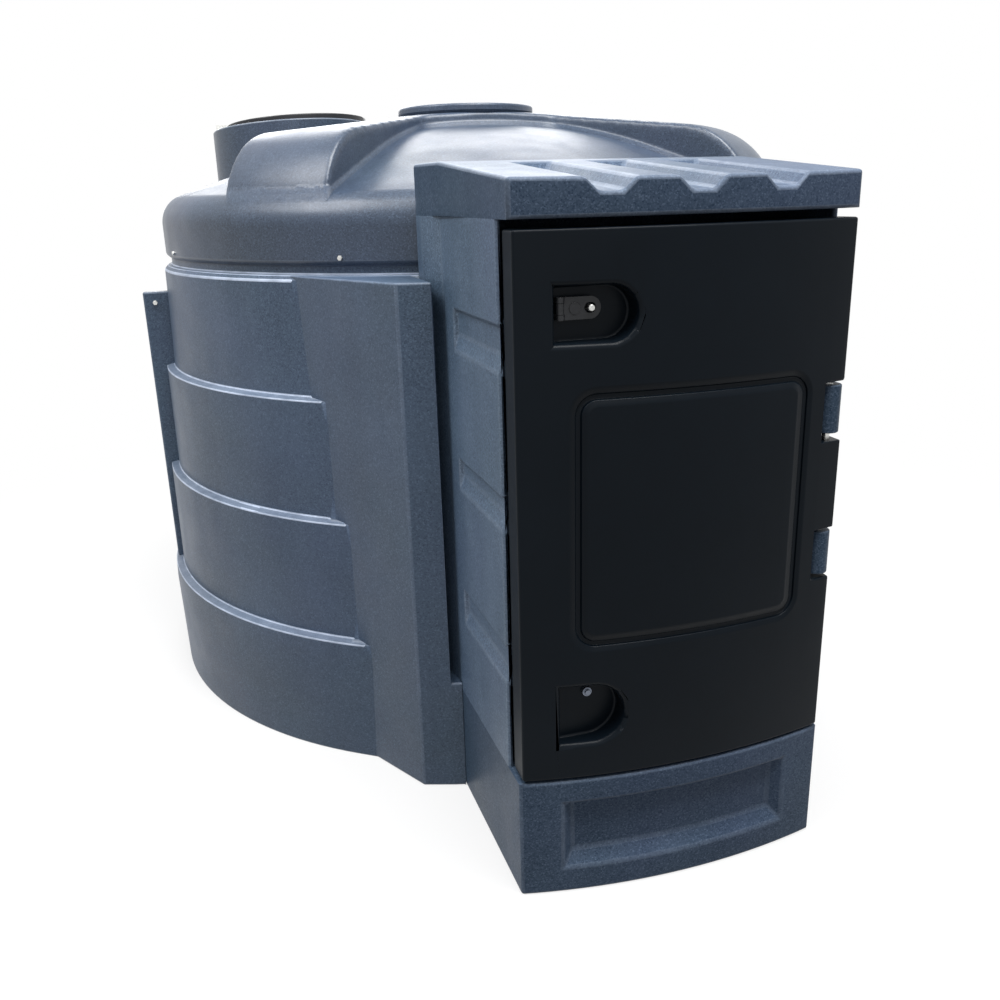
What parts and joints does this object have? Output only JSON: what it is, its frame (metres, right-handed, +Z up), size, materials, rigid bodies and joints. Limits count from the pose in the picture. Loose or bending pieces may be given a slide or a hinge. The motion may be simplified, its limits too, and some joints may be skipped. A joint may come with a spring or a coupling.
{
  "type": "fuel storage tank",
  "caption": "Round bunded fuel storage tank in tiers, with a domed ridged cover, a hinged fill lid and a dispensing cabinet with a bowed black door.",
  "frame": {"origin": "on the floor, on the upright axis of the round tank", "axes": "+Z up, +Y away from the cabinet door towards the rear, +X to the right seen from the door"},
  "size_m": [2.294, 2.845, 1.8551],
  "materials": {
    "tank_plastic": "fine speckled rotomoulded plastic, worn bright at the edges",
    "cover_plastic": "fine speckled rotomoulded plastic with a soft sheen",
    "cabinet_plastic": "fine speckled rotomoulded plastic",
    "door_plastic": "satin black moulded plastic",
    "lid_plastic": "satin black moulded plastic",
    "latch_black": "black painted steel",
    "zinc_steel": "zinc plated steel"
  },
  "bodies": {
    "root": {"tank_floor": "tank_plastic", "wall_rear_right": "tank_plastic", "wall_rear_left": "tank_plastic", "wall_front_left": "tank_plastic", "wall_front_right": "tank_plastic", "wing_left": "tank_plastic", "wing_right": "tank_plastic", "side_rib_left": "tank_plastic", "side_rib_right": "tank_plastic", "rib_bolts": "zinc_steel", "cover_dome": "cover_plastic", "cover_ridge": "cover_plastic", "cover_bolts": "zinc_steel", "manhole_boss": "cover_plastic", "manhole_cap": "cover_plastic", "fill_turret": "cover_plastic", "fill_hinge_bracket": "zinc_steel", "cabinet_side_left": "cabinet_plastic", "cabinet_side_right": "cabinet_plastic", "cabinet_back": "cabinet_plastic", "cabinet_plinth": "cabinet_plastic", "cabinet_roof": "cabinet_plastic", "hinge_knuckles": "cabinet_plastic", "hinge_pin": "zinc_steel"},
    "door": {"door_skin": "door_plastic", "door_liner": "door_plastic", "door_knuckle": "door_plastic", "latch_hinge": "latch_black", "latch_staple": "zinc_steel", "lower_bolt": "zinc_steel"},
    "latch_flap": {"latch_flap": "latch_black"},
    "fill_lid": {"fill_lid": "lid_plastic", "fill_lid_knuckle": "lid_plastic", "fill_lid_hasp": "zinc_steel"}
  },
  "joints": [
    {"name": "door_hinge", "type": "hinge", "parent": "root", "child": "door", "pos_m": [0.359, -1.6331, 0.924], "axis": [0, 0, 1], "range_deg": [0, 110]},
    {"name": "latch_flap_hinge", "type": "hinge", "parent": "door", "child": "latch_flap", "pos_m": [-0.282, -1.6565, 1.3535], "axis": [0, 0, -1], "range_deg": [0, 90]},
    {"name": "fill_lid_hinge", "type": "hinge", "parent": "root", "child": "fill_lid", "pos_m": [-0.26859, 0.45061, 1.83593], "axis": [0.0024, 0.998, -0.0629], "range_deg": [0, 100]}
  ]
}
